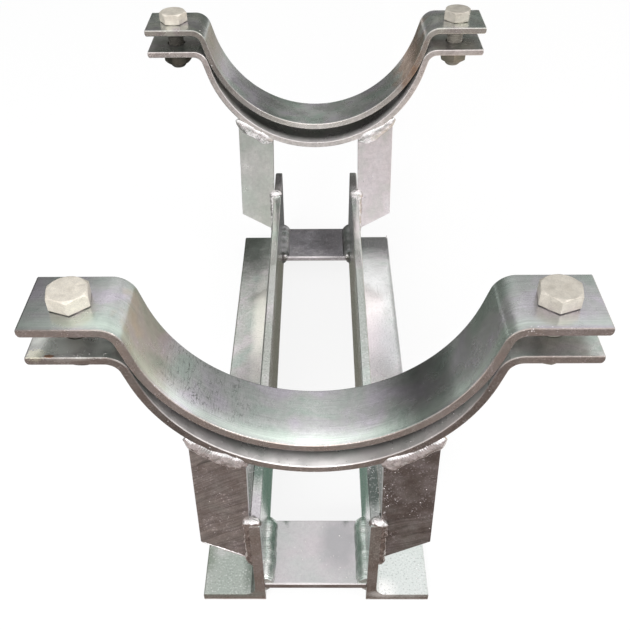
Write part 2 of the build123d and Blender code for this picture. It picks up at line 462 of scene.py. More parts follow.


# The uprights: four pieces of flat, sawn to a rake below and flame-cut above to the saddle's curve, each
# welded beside the end of a leg. They lean in a little, and the front ones have their front faces painted
# brown as shade under the clamp, the right one darker.
pipe_axis = 0.276
saddle_back = 0.1157
upright_inner = 0.048
upright_outer = 0.085
upright_width = upright_outer - upright_inner
upright_foot = 0.0515
upright_rise = 0.022
upright_thickness = 0.008
upright_edge = 0.0003
upright_fronts = {"front": -0.2445, "rear": 0.2025}
upright_lean = math.tan(math.radians(1.5))
top_shift = 0.002
top_narrowing = 0.0007
arc_steps = 20


def scaled(tree, vector, factor):
    """The vector, longer or shorter by a factor."""
    return add(tree, "ShaderNodeVectorMath", {0: vector, "Scale": factor}, operation="SCALE").outputs[0]


def between(tree, share, low, high):
    """A number that goes from low to high with a share."""
    return add(tree, "ShaderNodeMix", {0: share, 2: low, 3: high}).outputs[0]


def sawn(rise, depth, low, high):
    """Lines that a saw or a torch left across a front face at this angle, deepest between two heights."""
    def touch(tree, place, facing, colour):
        turned = add(tree, "ShaderNodeMapping", {"Vector": place, "Rotation": (0, math.radians(rise), 0)})
        bow = scaled(tree, noise(tree, place, 40, 2).outputs["Color"], 0.006)
        turned = vector_maths(tree, "ADD", turned, bow)
        fine = noise(tree, vector_maths(tree, "MULTIPLY", turned, (22, 1, 620)), 1, 3)
        broad = noise(tree, vector_maths(tree, "MULTIPLY", turned, (34, 1, 190)), 1, 2)
        lines = ranged(tree, fine, 0.3, 0.7, 1 - depth, 1 + depth)
        gouges = ranged(tree, broad, 0.27, 0.36, 1 - 1.6 * depth, 1)
        height = split(tree, place)["Z"]
        above = ranged(tree, height, low - 0.01, low + 0.01)
        within = times(tree, above, ranged(tree, height, high + 0.02, high))
        return lit(tree, colour, between(tree, within, 1.0, times(tree, lines, gouges)))
    return touch


upright_tints = [(0.55, 0.57, 0.54), (0.62, 0.60, 0.59), (0.68, 0.63, 0.65)]
upright_zinc = {
    "front_left": zinc(
        "front_left_upright_zinc", upright_tints, rough=(0.3, 0.46), cloud=60,
        front=(0.33, 0.285, 0.265), touch=sawn(28, 0.26, 0.06, 0.19),
    ),
    "front_right": zinc(
        "front_right_upright_zinc", upright_tints, rough=(0.3, 0.46), cloud=60,
        front=(0.19, 0.158, 0.145), touch=sawn(18, 0.28, 0.05, 0.1),
    ),
    "rear_left": zinc("rear_left_upright_zinc", [
        (0.55, 0.58, 0.54), (0.61, 0.62, 0.59), (0.66, 0.65, 0.63),
    ], relief=0.6),
    "rear_right": zinc("rear_right_upright_zinc", [
        (0.68, 0.66, 0.65), (0.75, 0.69, 0.71), (0.79, 0.74, 0.76),
    ], relief=0.6),
}
for end, front in upright_fronts.items():
    for side, sign in sides.items():
        arc = []
        for i in range(arc_steps + 1):
            across = upright_width * (1 - i / arc_steps)
            x = upright_inner - top_shift + across - top_narrowing * across / upright_width
            arc.append((x, pipe_axis - math.sqrt(saddle_back ** 2 - x ** 2)))
        lower = [(upright_inner, upright_foot), (upright_outer, upright_foot + upright_rise)]
        lower = [(x - (z - leg_height) * upright_lean, z) for x, z in lower]
        outline = [(sign * x, z) for x, z in lower + arc]
        name = f"{end}_{side}"
        upright = plate("upright_plate_" + name, outline, front, upright_thickness, upright_zinc[name])
        settle(upright, "upright_" + name, bevel=upright_edge)


# The saddle straps: flat bar bent flatwise to a half ring with outward tabs, punched for the bolts and
# sheared at the ends, which rolled the lower edges over. They are welded on the uprights.
strap_width = 0.05
strap_thickness = 0.006
strap_edge = 0.001
strap_reach = 0.168
seat_radius = 0.1096
shoulder_radius = 0.009
tab_drop = 0.01
flank_lean = math.radians(16.5)
tab_roll = 0.002
bolt_out = 0.142
bolt_hole = 0.018
clamp_middles = {"front": -0.2235, "rear": 0.2235}
strap_fronts = {end: middle - strap_width / 2 for end, middle in clamp_middles.items()}
tab_top_roll = 0.0006
roll_height = 0.002


def kept(tree, shape, name, number):
    """The shape with a number kept at each of its points under a name."""
    inputs = {"Geometry": shape, "Name": name, "Value": number}
    return add(tree, "GeometryNodeStoreNamedAttribute", inputs, domain="POINT")


def stepped(tree, path, step, name):
    """The path in even steps, with each point's way along it kept under a name."""
    path = add(tree, "GeometryNodeResampleCurve", {"Curve": path, "Length": step}, mode="LENGTH")
    return kept(tree, path, name, add(tree, "GeometryNodeSplineParameter").outputs["Length"])


bent_strap, sizes = recipe("bent_strap", {
    "Width": "Float", "Thickness": "Float", "Edge Radius": "Float", "Hole Spacing": "Float",
    "Hole Diameter": "Float", "Middle": "Vector",
})
tree = bent_strap
path = stepped(tree, rounded(tree, sizes["Start"], 90), 0.0006, "along")
flat = {"Width": sizes["Width"], "Height": sizes["Thickness"]}
flat = add(tree, "GeometryNodeCurvePrimitiveQuadrilateral", flat)
flat = {"Curve": flat, "Count": 4, "Radius": sizes["Edge Radius"]}
flat = add(tree, "GeometryNodeFilletCurve", flat, mode="POLY")
bar = add(tree, "GeometryNodeCurveToMesh", {"Curve": path, "Profile Curve": flat, "Fill Caps": True})
punch = {"Radius": times(tree, sizes["Hole Diameter"], 0.5), "Depth": 0.06, "Vertices": 48}
punch = add(tree, "GeometryNodeMeshCylinder", punch)
punches = tree.nodes.new("GeometryNodeJoinGeometry")
for sign in sides.values():
    shift = point(tree, x=times(tree, sizes["Hole Spacing"], 0.5 * sign))
    moved = add(tree, "GeometryNodeTransform", {"Geometry": punch, "Translation": shift})
    tree.links.new(moved.outputs[0], punches.inputs[0])
bar = add(tree, "GeometryNodeMeshBoolean", {"Mesh 1": bar, "Mesh 2": punches}, operation="DIFFERENCE")
bar = add(tree, "GeometryNodeTransform", {"Geometry": bar, "Translation": sizes["Middle"]})
close_recipe(tree, bar, sizes["Finish"])


def strap(name, middle, axis_height, finish):
    """One bent strap whose pipe axis runs along Y at this height, its sheared ends rolled over."""
    mid_seat = seat_radius + strap_thickness / 2
    mid_tab = -tab_drop - strap_thickness / 2
    corner = (mid_seat + mid_tab * math.sin(flank_lean)) / math.cos(flank_lean)
    keel = -mid_seat / math.sin(flank_lean)
    shoulder = shoulder_radius + strap_thickness / 2
    line = [(across, 0, mid_tab) for across in (-strap_reach, -corner, corner, strap_reach)]
    line.insert(2, (0, 0, keel))
    wire = outline_mesh("strap_line", line, [0, shoulder, mid_seat, shoulder, 0], False)
    piece = grown(name, bent_strap, wire, {
        "Width": strap_width, "Thickness": strap_thickness, "Edge Radius": strap_edge,
        "Hole Spacing": 2 * bolt_out, "Hole Diameter": bolt_hole, "Middle": (0, middle, axis_height),
        "Finish": finish,
    })
    for vertex in piece.data.vertices:
        left = strap_reach - abs(vertex.co.x)
        rise = axis_height + mid_tab - vertex.co.z
        roll = tab_roll if rise > 0 else tab_top_roll
        if left < roll:
            lift = roll - math.sqrt(max(0, roll ** 2 - (roll - left) ** 2))
            lift = lift * min(1, abs(rise) / roll_height)
            vertex.co.z += lift if rise > 0 else -lift
    return piece


def across_strap(tree, place, steps):
    """A number that takes these levels, each at its share of the way from a strap's left to its right."""
    across = ranged(tree, split(tree, place)["X"], -strap_reach, strap_reach)
    ramp = add(tree, "ShaderNodeValToRGB", {"Fac": across})
    while len(ramp.color_ramp.elements) < len(steps):
        ramp.color_ramp.elements.new(0.5)
    for element, (share, level) in zip(ramp.color_ramp.elements, steps):
        element.position = share
        element.color = (level, level, level, 1)
    return ramp.outputs[0]


def painted_lip_and_shade(tree, place, facing, colour, front, reach, levels):
    """A dull lip along a saddle's front edge, painted as pale as its levels say for the light on it, before
    the painted shade of the nest behind it.
    """
    back = split(tree, place)["Y"]
    seat = across_strap(tree, place, [(0.14, 0), (0.22, 1), (0.8, 1), (0.88, 0)])
    inside = times(tree, ranged(tree, facing["Z"], 0.15, 0.5), seat)
    shade_strength = across_strap(tree, place, [(0.3, 0.8), (0.42, 0.55), (0.57, 0.55), (0.68, 0.85)])
    # Painted shade in the nest under the cap, less in the middle of the seat.
    dark = times(tree, inside, ranged(tree, back, front + 0.0055, front + 0.0115), shade_strength)
    colour = blended(tree, dark, colour, (0.06, 0.05, 0.05))
    uneven = ranged(tree, noise(tree, place, 90, 4), 0.3, 0.6, 0.7, 1)
    # The lip, painted pale for the light that falls on it.
    lip = times(tree, inside, uneven, ranged(tree, back, front + 0.2 * reach, front + reach, 1, 0))
    pale = blended(tree, across_strap(tree, place, levels), (0.18, 0.16, 0.152), (1.0, 0.96, 0.95))
    metal = tree.nodes["Principled BSDF"].inputs["Metallic"]
    tree.links.new(ranged(tree, lip, 0, 1, 0.88, 0.1), metal)
    return blended(tree, lip, colour, pale)


def saddle_touch(tree, place, facing, colour):
    """Painted light and shade across the front saddle, its painted lip, and on its left tab a haze, a
    yellowish patch and a rust spot.
    """
    # Painted light and shade in steps across the strap.
    colour = lit(tree, colour, across_strap(tree, place, [
        (0, 0.9), (0.18, 0.75), (0.24, 0.5), (0.32, 0.7), (0.42, 1.0), (0.55, 1.0), (0.68, 0.7), (0.8, 0.6),
        (0.86, 0.9), (1, 1),
    ]))
    colour = painted_lip_and_shade(tree, place, facing, colour, strap_fronts["front"], 0.014, [
        (0.2, 0.4), (0.35, 0.5), (0.44, 1), (0.53, 1), (0.62, 0.22), (0.8, 0.12),
    ])
    haze = ((-0.142, -0.232, 0.266), (0.034, 0.018, 0.004), (0.96, 0.98, 0.93), 0.8)
    colour = stain_and_light_patch(tree, place, colour, haze, 70, 0.5)
    yellowish = ((-0.162, -0.2455, 0.266), (0.006, 0.0045, 0.004), (0.78, 0.76, 0.60), 0.6)
    colour = stain_and_light_patch(tree, place, colour, yellowish)
    rust = ((-0.1535, -0.2470, 0.266), (0.0034, 0.0013, 0.003), (0.30, 0.13, 0.06), 0.85)
    return stain_and_light_patch(tree, place, colour, rust)


def rear_saddle_touch(tree, place, facing, colour):
    """The rear saddle's painted lip, and the painted shade of the nest behind it."""
    levels = [(0.2, 0.6), (0.5, 0.45), (0.8, 0.42)]
    return painted_lip_and_shade(tree, place, facing, colour, strap_fronts["rear"], 0.0125, levels)


# The rear saddle is in darker tints as painted shade; the front faces are painted brown as shade on the
# front saddle and pale as reflection on the rear one.
saddle_tints = [(0.46, 0.51, 0.47), (0.54, 0.54, 0.52), (0.60, 0.56, 0.58)]
saddle_zinc = {
    "front": zinc(
        "front_saddle_zinc", saddle_tints, rough=(0.24, 0.38), front=(0.40, 0.34, 0.31), touch=saddle_touch,
    ),
    "rear": zinc(
        "rear_saddle_zinc", [(0.34, 0.37, 0.34), (0.40, 0.40, 0.38), (0.44, 0.41, 0.42)],
        rough=(0.24, 0.38), front=(0.76, 0.70, 0.68), touch=rear_saddle_touch,
    ),
}
for end, middle in clamp_middles.items():
    saddle = strap("saddle_" + end, middle, pipe_axis, saddle_zinc[end])
    settle(saddle, "saddle_strap_" + end)


# The weld beads: laid by hand in the corners between the pieces, lumpy and rippled, and shiny where the
# zinc pooled on them. The ones up the legs end in round lumps over the legs' toes.
weld_bead, sizes = recipe("weld_bead", {
    "Half Width": "Float", "Half Depth": "Float", "Facing": "Float", "Half Angle": "Float",
    "Ripple Spacing": "Float", "Ripple Height": "Float", "Lumps": "Float", "Lump Size": "Float",
    "Seed": "Float", "Front Limit": "Float",
})
tree = weld_bead
path = add(tree, "GeometryNodeMeshToCurve", {"Mesh": sizes["Start"]})
path = add(tree, "GeometryNodeCurveSplineType", {"Curve": path}, spline_type="CATMULL_ROM")
path = stepped(tree, path, 0.00045, "run")
ring = add(tree, "GeometryNodeCurvePrimitiveCircle", {"Resolution": 36, "Radius": 1.0})
turn = times(tree, add(tree, "GeometryNodeSplineParameter").outputs["Factor"], 2 * math.pi)
aside = maths(tree, "COSINE", maths(tree, "SUBTRACT", turn, sizes["Facing"]))
aside = maths(tree, "ARCCOSINE", aside)
full = ranged(tree, maths(tree, "SUBTRACT", aside, sizes["Half Angle"]), 0, 0.2, 1, 0.06)
ring = kept(tree, ring, "aside", aside)
squeezed = scaled(tree, add(tree, "GeometryNodeInputPosition"), full)
ring = add(tree, "GeometryNodeSetPosition", {"Geometry": ring, "Position": squeezed})
spread = point(tree, sizes["Half Depth"], sizes["Half Width"], 1.0)
ring = add(tree, "GeometryNodeTransform", {"Geometry": ring, "Scale": spread})
swell = noted(tree, "bend")
bead = {"Curve": path, "Profile Curve": ring, "Scale": swell, "Fill Caps": True}
bead = add(tree, "GeometryNodeCurveToMesh", bead)
aside = noted(tree, "aside")
bow = times(tree, aside, aside, 1.6)
beat = maths(tree, "DIVIDE", times(tree, noted(tree, "run"), 2 * math.pi), sizes["Ripple Spacing"])
wobble = times(tree, noise(tree, add(tree, "GeometryNodeInputPosition"), 130, 2), 9.0)
phase = maths(tree, "ADD", maths(tree, "ADD", beat, wobble), bow)
ripple = times(tree, maths(tree, "SINE", phase), sizes["Ripple Height"])
lump_field = {"W": sizes["Seed"], "Scale": sizes["Lump Size"], "Detail": 2}
lump_field = add(tree, "ShaderNodeTexNoise", lump_field, noise_dimensions="4D")
lumps = times(tree, ranged(tree, lump_field, 0.3, 0.7, -1, 1), sizes["Lumps"])
offset = scaled(tree, add(tree, "GeometryNodeInputNormal"), maths(tree, "ADD", ripple, lumps))
bead = add(tree, "GeometryNodeSetPosition", {"Geometry": bead, "Offset": offset})
here = split(tree, add(tree, "GeometryNodeInputPosition"))
flush = point(tree, here["X"], maths(tree, "MAXIMUM", here["Y"], sizes["Front Limit"]), here["Z"])
bead = add(tree, "GeometryNodeSetPosition", {"Geometry": bead, "Position": flush})
close_recipe(tree, bead, sizes["Finish"])


def painted_underside_shade(level):
    """Painted shade: brown and pitted where a bead faces lower than this level, white and smooth above it.
    """
    def touch(tree, place, facing, colour):
        uneven = ranged(tree, noise(tree, place, 260, 4), 0.3, 0.7, -0.2, 0.2)
        upward = maths(tree, "ADD", facing["Z"], uneven)
        pitted = ranged(tree, noise(tree, place, 420, 3), 0.35, 0.65)
        brown = blended(tree, pitted, (0.20, 0.16, 0.14), (0.48, 0.41, 0.38))
        return blended(tree, ranged(tree, upward, level + 0.17, level - 0.17), colour, brown)
    return touch


shiny_tints = [(0.80, 0.80, 0.79), (0.90, 0.86, 0.86), (0.96, 0.91, 0.92)]
strap_weld_zinc = zinc("strap_weld_zinc", shiny_tints, rough=(0.14, 0.26), cloud=160, touch=painted_underside_shade(-0.1))
leg_weld_zinc = zinc("leg_weld_zinc", shiny_tints, rough=(0.14, 0.26), cloud=160, touch=painted_underside_shade(0.5))
weld_zinc = zinc("weld_zinc", shiny_tints, rough=(0.16, 0.3), cloud=160)
# The rear cross welds are in darker tints as painted shade.
cross_weld_zinc = {
    "front": zinc(
        "front_cross_weld_zinc", [(0.44, 0.52, 0.47), (0.60, 0.66, 0.62), (0.86, 0.88, 0.85)],
        rough=(0.15, 0.28), cloud=80, sparks=0.25,
    ),
    "rear": zinc(
        "rear_cross_weld_zinc", [(0.22, 0.24, 0.23), (0.27, 0.27, 0.27), (0.36, 0.35, 0.36)],
        rough=(0.28, 0.4), cloud=80, sparks=0.3,
    ),
}
welder = random.Random(11)
plain_bead = {
    "Half Width": 0.004, "Half Depth": 0.004, "Facing": 0.0, "Half Angle": 4.0, "Ripple Spacing": 0.0018,
    "Ripple Height": 0.00005, "Lumps": 0.0005, "Lump Size": 130, "Front Limit": -0.24995,
}


def weld(name, points, node, finish, changes):
    """One bead along points that each hold a swell after their place, its front flush with the legs."""
    wire = outline_mesh("weld_line", [p[:3] for p in points], [p[3] for p in points], False)
    values = {**plain_bead, **changes, "Seed": welder.uniform(0, 50), "Finish": finish}
    settle(grown(name, weld_bead, wire, values), node, crease=70)


def swelled(count, low, high, ends=0.35):
    """Swells for a bead's points, smaller at both ends."""
    middle = [welder.uniform(low, high) for i in range(count - 2)]
    return [ends, *middle, ends]


outward = {"front": -1, "back": 1}


def face_of_upright(end, face, shift):
    """Where a bead lies along Y that stands this far out of an upright's front or back face."""
    back = upright_thickness if face == "back" else 0
    return upright_fronts[end] + back + outward[face] * shift


past_inner_edge = {"front": 0.0045, "rear": 0.0025}
short_of_outer_edge = 0.0030
strap_bead_points = 9
strap_bead_shift = {"front": 0.0014, "back": 0.0002}
strap_bead_drop = {"front": 0.0030, "back": 0.0005}
strap_bead_sizes = {
    "front": {"Half Width": 0.0067, "Half Depth": 0.0042, "Half Angle": 4.0},
    "back": {"Half Width": 0.0048, "Half Depth": 0.0045, "Half Angle": 1.7},
}


def strap_weld(end, side, face):
    """A bead along the arc between an upright and a saddle's back, in front thinner towards the outside."""
    sign = sides[side]
    start = math.asin((upright_inner - past_inner_edge[end]) / saddle_back)
    stop = math.asin((upright_outer - short_of_outer_edge) / saddle_back)
    y = face_of_upright(end, face, strap_bead_shift[face])
    radius = saddle_back + strap_bead_drop[face]
    arc = []
    for i, swell in enumerate(swelled(strap_bead_points, 0.85, 1.08)):
        share = i / (strap_bead_points - 1)
        lean = start + (stop - start) * share
        thin = 1 if face == "back" else 1.1 - 0.5 * max(0, share - 0.3)
        place = (sign * radius * math.sin(lean), y, pipe_axis - radius * math.cos(lean))
        arc.append((*place, swell * thin))
    name = f"strap_weld_{face}_{end}_{side}"
    weld("bead_" + name, arc, name, strap_weld_zinc if end == "front" else weld_zinc, {
        **strap_bead_sizes[face], "Facing": 0.0 if sign * outward[face] < 0 else math.pi,
        "Lumps": 0.0004, "Lump Size": 120,
    })


leg_bead_foot = 0.046
leg_bead_top = leg_height - 0.006
leg_bead_points = 10
leg_bead_shift = 0.0008
leg_bead_aside = 0.0012
toe_lumps = [
    (0.0008, -0.0020, 1.0), (-0.0015, -0.0012, 1.1), (-0.0040, -0.0014, 1.05), (-0.0060, -0.0026, 0.8),
]


def leg_weld(end, side, face):
    """A bead up the corner between a leg and an upright, which ends in lumps over the toe in front."""
    sign = sides[side]
    y = face_of_upright(end, face, leg_bead_shift)
    line = []
    for i in range(leg_bead_points):
        z = leg_bead_foot + (leg_bead_top - leg_bead_foot) * i / (leg_bead_points - 1)
        line.append((sign * (upright_inner + leg_bead_aside), y, z, welder.uniform(0.85, 1.0)))
    line[0] = (*line[0][:3], 0.4)
    over = toe_lumps
    if end == "rear":
        over = [(across, up + 0.0016, swell * 1.1) for across, up, swell in over]
    if face == "back":
        over = [(0.0010, -0.0030, 0.7)]
    for across, up, swell in over:
        line.append((sign * (upright_inner + across), y, leg_height + up, swell))
    line.append((*line[-1][:2], line[-1][2] - 0.002, 0.3))
    name = f"leg_weld_{face}_{end}_{side}"
    weld("bead_" + name, line, name, leg_weld_zinc if end == "front" else weld_zinc, {
        "Half Width": 0.0043, "Half Depth": 0.0042, "Lumps": 0.0008 if end == "front" else 0.0004,
        "Lump Size": 170,
    })


for end in upright_fronts:
    for side in sides:
        for face in ("front", "back"):
            strap_weld(end, side, face)
        for face in ("front", "back"):
            leg_weld(end, side, face)

cross_levels = {
    "over": (cross_bottom + cross_thickness, 1, 0.0144, 0.005),
    "under": (cross_bottom, -1, 0.0087, 0.003),
}
cross_bead_points = 14
cross_bead_end = 0.0008


def cross_weld(end, side, level):
    """A smooth bead along the corner between a cross plate and a leg, over or under the plate."""
    sign = sides[side]
    z, up, size, inset = cross_levels[level]
    line = []
    for i, swell in enumerate(swelled(cross_bead_points, 0.98, 1.02, 0.9)):
        along = (cross_depth - 2 * cross_bead_end) * i / (cross_bead_points - 1)
        y = cross_fronts[end] + cross_bead_end + along
        line.append((sign * (gap_half + inset), y, z - inset * up, swell))
    name = f"cross_weld_{level}_{end}_{side}"
    weld("bead_" + name, line, name, cross_weld_zinc[end], {
        "Half Width": size, "Half Depth": size, "Facing": math.atan2(-up, -sign), "Half Angle": 0.43,
        "Ripple Height": 0.00012 if end == "front" else 0.00004, "Ripple Spacing": 0.0017,
        "Lumps": 0.00015 if end == "front" else 0.00005, "Lump Size": 90,
    })


for end in cross_fronts:
    for side in sides:
        for level in cross_levels:
            cross_weld(end, side, level)


# The cap straps: bent like the saddles, and bolted in them the same way up for storage. In use they are
# turned over on top of the pipe.
stow_rise = 0.021302


def dark_runs(tree, place, colour, along, back, upper):
    """The colour with thin dark lines, a net drawn out along the strap, on part of its left flank."""
    parts = split(tree, place)
    bent = scaled(tree, noise(tree, place, 160, 2).outputs["Color"], 1.5)
    net = point(tree, times(tree, along, 430.0), times(tree, parts["Y"], 42.0))
    net = {"Vector": vector_maths(tree, "ADD", net, bent), "Scale": 1}
    net = add(tree, "ShaderNodeTexVoronoi", net, feature="DISTANCE_TO_EDGE")
    lines = ranged(tree, net, 0.01, 0.05, 1, 0)
    flank = times(tree, ranged(tree, parts["X"], -0.100, -0.086), ranged(tree, parts["X"], -0.025, -0.06))
    patchy = ranged(tree, noise(tree, place, 200, 2), 0.4, 0.52)
    region = times(tree, flank, upper, ranged(tree, back, 0.08, 0.3), patchy)
    return blended(tree, times(tree, lines, region, 0.9), colour, (0.10, 0.11, 0.10))


def cap_touch(tree, place, facing, colour):
    """Across the upper face: painted bright at the front as a highlight and dimmer behind, lighter and
    darker in steps across the strap, with a greenish band of painted highlight near the front, a warm patch,
    brushed lengthwise, and thin dark runs.
    """
    parts = split(tree, place)
    upper = ranged(tree, facing["Z"], 0.1, 0.3)
    back = ranged(tree, parts["Y"], strap_fronts["front"], strap_fronts["front"] + strap_width)
    seat = ranged(tree, maths(tree, "ABSOLUTE", parts["X"]), 0.085, 0.108, 1, 0)
    # Painted highlight at the front of the seat, dimmer towards the back, and painted light across the
    # strap.
    bright = between(tree, seat, 1.0, ranged(tree, back, 0, 0.4, 1.85, 1.0))
    light = times(tree, bright, ranged(tree, back, 0.4, 1, 1, 0.78), across_strap(tree, place, [
        (0, 0.44), (0.07, 0.68), (0.14, 1.25), (0.2, 1.05), (0.3, 0.58), (0.4, 0.82), (0.5, 1.15),
        (0.6, 0.80), (0.7, 0.38), (0.75, 0.52), (0.8, 1.2), (0.87, 0.88), (1, 0.92),
    ]))
    along = add(tree, "ShaderNodeAttribute", attribute_name="along").outputs["Fac"]
    brush = point(tree, times(tree, along, 25.0), times(tree, parts["Y"], 1500.0))
    light = times(tree, light, ranged(tree, noise(tree, brush, 1, 3), 0.3, 0.7, 0.88, 1.1))
    highlight_band = times(tree, ranged(tree, back, 0.02, 0.08), ranged(tree, back, 0.1, 0.26, 1, 0))
    colour = blended(tree, times(tree, highlight_band, upper, 0.5), colour, (0.62, 0.72, 0.64))
    warm = ((-0.112, -0.222, 0.262), (0.007, 0.035, 0.022), (0.62, 0.52, 0.42), 0.55)
    colour = stain_and_light_patch(tree, place, colour, warm, 90, 0.6)
    colour = lit(tree, colour, between(tree, upper, 1.0, light))
    return dark_runs(tree, place, colour, along, back, upper)


def rear_cap_touch(tree, place, facing, colour):
    """Painted light and shade across the rear cap, darker on its left flank and lighter in its middle, with
    a brownish stain on its right flank and clouds on its tabs.
    """
    brown = ((0.100, 0.226, 0.244), (0.020, 0.05, 0.045), (0.42, 0.27, 0.18), 0.85)
    colour = stain_and_light_patch(tree, place, colour, brown, 70, 0.6)
    tabs = ranged(tree, maths(tree, "ABSOLUTE", split(tree, place)["X"]), 0.1, 0.12)
    clouds = times(tree, ranged(tree, noise(tree, place, 75, 5), 0.4, 0.6), tabs)
    colour = blended(tree, times(tree, clouds, 0.6), colour, (0.78, 0.80, 0.72))
    return lit(tree, colour, across_strap(tree, place, [
        (0, 0.9), (0.14, 0.8), (0.2, 0.7), (0.35, 0.8), (0.45, 1.35), (0.55, 1.3), (0.7, 0.9), (1, 0.95),
    ]))


# The caps' front faces are painted in reflection tints, brown as shade on the front cap.
cap_tints = [(0.42, 0.48, 0.44), (0.50, 0.51, 0.50), (0.55, 0.52, 0.57)]
cap_zinc = {
    "front": zinc(
        "front_cap_zinc", cap_tints, rough=(0.2, 0.3), relief=0.5, front=(0.44, 0.38, 0.35), touch=cap_touch,
    ),
    "rear": zinc(
        "rear_cap_zinc", cap_tints, rough=(0.2, 0.32), relief=0.5, front=(0.60, 0.56, 0.53),
        touch=rear_cap_touch,
    ),
}
for end, middle in clamp_middles.items():
    cap = strap("cap_" + end, middle, pipe_axis + stow_rise, cap_zinc[end])
    settle(cap, "cap_strap_" + end)


# The bolts: steel hexagon bolts, threaded to the head and dipped on their own, which left them a warmer and
# duller grey. Each runs down through a tab of a cap and the tab of the saddle below it.
across_flats = 0.024
head_height = 0.01
head_neck = 0.0073
washer_face = 0.0113
bolt_length = 0.045
bolt_tip = 0.0062
thread_major = 0.0079
thread_depth = 0.0012
thread_pitch = 0.002
thread_slices = 12
around = 72
bolt_seat = pipe_axis + stow_rise - tab_drop
head_turns = {"front_left": -20, "front_right": 21, "rear_left": 1, "rear_right": 15}


def bolt_touch(tree, place, facing, colour):
    """Painted light and shade: the right heads are painted darker than the left ones, and the threads dark
    as painted shade, on the left above all.
    """
    parts = split(tree, place)
    below = ranged(tree, parts["Z"], 0.2875, 0.2865)
    head = ranged(tree, parts["X"], -0.1, 0.1, 1.0, 0.76)
    dark = ranged(tree, parts["X"], -0.1, 0.1, 0.16, 0.5)
    return lit(tree, colour, between(tree, below, head, dark))


bolt_tints = [(0.66, 0.61, 0.53), (0.73, 0.68, 0.60), (0.78, 0.73, 0.64)]
bolt_zinc = zinc(
    "bolt_zinc", bolt_tints, rough=(0.36, 0.5), cloud=120, relief=0.7, metal=0.55, touch=bolt_touch,
)


def hexagon(turn):
    """How far a hexagon of the bolts' size reaches in this direction, with a corner at 0."""
    return across_flats / 2 / math.cos(math.radians((turn % 60) - 30))


def turned(name, rings, place, quarter_turn, finish):
    """A solid between rings of (reach, height) for every direction, from the lowest to the highest."""
    work = bmesh.new()
    rows = []
    for ring in rings:
        row = []
        for step in range(around):
            turn = 360 * step / around
            reach, height = ring(turn)
            angle = math.radians(turn + quarter_turn)
            row.append(work.verts.new((reach * math.cos(angle), reach * math.sin(angle), height)))
        rows.append(row)
    for lower, upper in zip(rows, rows[1:]):
        for step in range(around):
            after = (step + 1) % around
            work.faces.new((lower[step], lower[after], upper[after], upper[step]))
    for row in (rows[0], rows[-1]):
        middle = work.verts.new((0, 0, sum(vertex.co.z for vertex in row) / around))
        for step in range(around):
            work.faces.new((row[step], row[(step + 1) % around], middle))
    bmesh.ops.translate(work, verts=work.verts, vec=place)
    mesh = bpy.data.meshes.new(name)
    work.to_mesh(mesh)
    work.free()
    mesh.materials.append(finish)
    return placed(name, mesh)


def flat_ring(reach, height):
    """A round ring at this height."""
    return lambda turn: (reach, height)


def thread_ring(height):
    """The thread's helix at this height, turned to a cone at the bolt's tip."""
    def ring(turn):
        phase = (height / thread_pitch - turn / 360) % 1
        cut = min(1, max(0, (abs(2 * phase - 1) - 0.12) / 0.68))
        return min(thread_major - thread_depth * cut, bolt_tip + (height + bolt_length)), height
    return ring


def hexagon_ring(height, slope=0.0, shrink=0.0):
    """A hexagon at this height, whose corners fall or rise away with this slope."""
    def ring(turn):
        reach = hexagon(turn)
        return reach - shrink, height + slope * (reach - across_flats / 2)
    return ring


def on_bolt(corner, height):
    """The place at this height on the axis of a corner's bolt."""
    end, side = corner.split("_")
    return Vector((sides[side] * bolt_out, clamp_middles[end], height))


fall = -math.tan(math.radians(30))
slices = range(int(bolt_length / thread_pitch * thread_slices))
threads = [thread_ring(-bolt_length + thread_pitch * i / thread_slices) for i in slices]
head = [
    flat_ring(head_neck, 0),
    flat_ring(washer_face - 0.0001, 0),
    flat_ring(washer_face, 0.0005),
    hexagon_ring(0.0006, shrink=0.0002),
    hexagon_ring(0.001),
    hexagon_ring(head_height - 0.0005, fall),
    hexagon_ring(head_height - 0.0002, fall, 0.0003),
    flat_ring(across_flats / 2 * 0.985, head_height - 0.0001),
    flat_ring(across_flats / 2 * 0.93, head_height),
    flat_ring(across_flats / 2 * 0.5, head_height - 0.0001),
]
for corner, turn in head_turns.items():
    bolt = turned("hex_bolt_" + corner, threads + head, on_bolt(corner, bolt_seat), turn, bolt_zinc)
    settle(bolt, "bolt_" + corner, crease=28)


# The nuts: steel hexagon nuts, chamfered on both faces and dark with dull zinc. Each is run up on its bolt
# to the underside of a saddle's tab.
nut_seat = pipe_axis - tab_drop - strap_thickness
nut_height = 0.013
nut_bore = 0.0081
nut_mouth = 0.0088
nut_turn = 12
nut_tints = [(0.30, 0.29, 0.24), (0.38, 0.35, 0.29), (0.46, 0.41, 0.34)]


def nut_touch(tree, place, facing, colour):
    """Painted shade: the left nuts are painted darker."""
    return lit(tree, colour, ranged(tree, split(tree, place)["X"], -0.1, 0.1, 0.3, 0.8))


nut_zinc = zinc("nut_zinc", nut_tints, rough=(0.35, 0.5), cloud=120, touch=nut_touch)
body = [
    flat_ring(nut_bore, 0.0008),
    flat_ring(nut_mouth, 0.0001),
    flat_ring(across_flats / 2 * 0.95, 0),
    hexagon_ring(0.0003, -fall, 0.0003),
    hexagon_ring(0.0006, -fall),
    hexagon_ring(nut_height - 0.0006, fall),
    hexagon_ring(nut_height - 0.0003, fall, 0.0003),
    flat_ring(across_flats / 2 * 0.95, nut_height),
    flat_ring(nut_mouth, nut_height - 0.0001),
    flat_ring(nut_bore, nut_height - 0.0008),
]
for corner, turn in head_turns.items():
    place = on_bolt(corner, nut_seat - nut_height)
    nut = turned("hex_nut_" + corner, body, place, turn + nut_turn, nut_zinc)
    settle(nut, "nut_" + corner, crease=28)


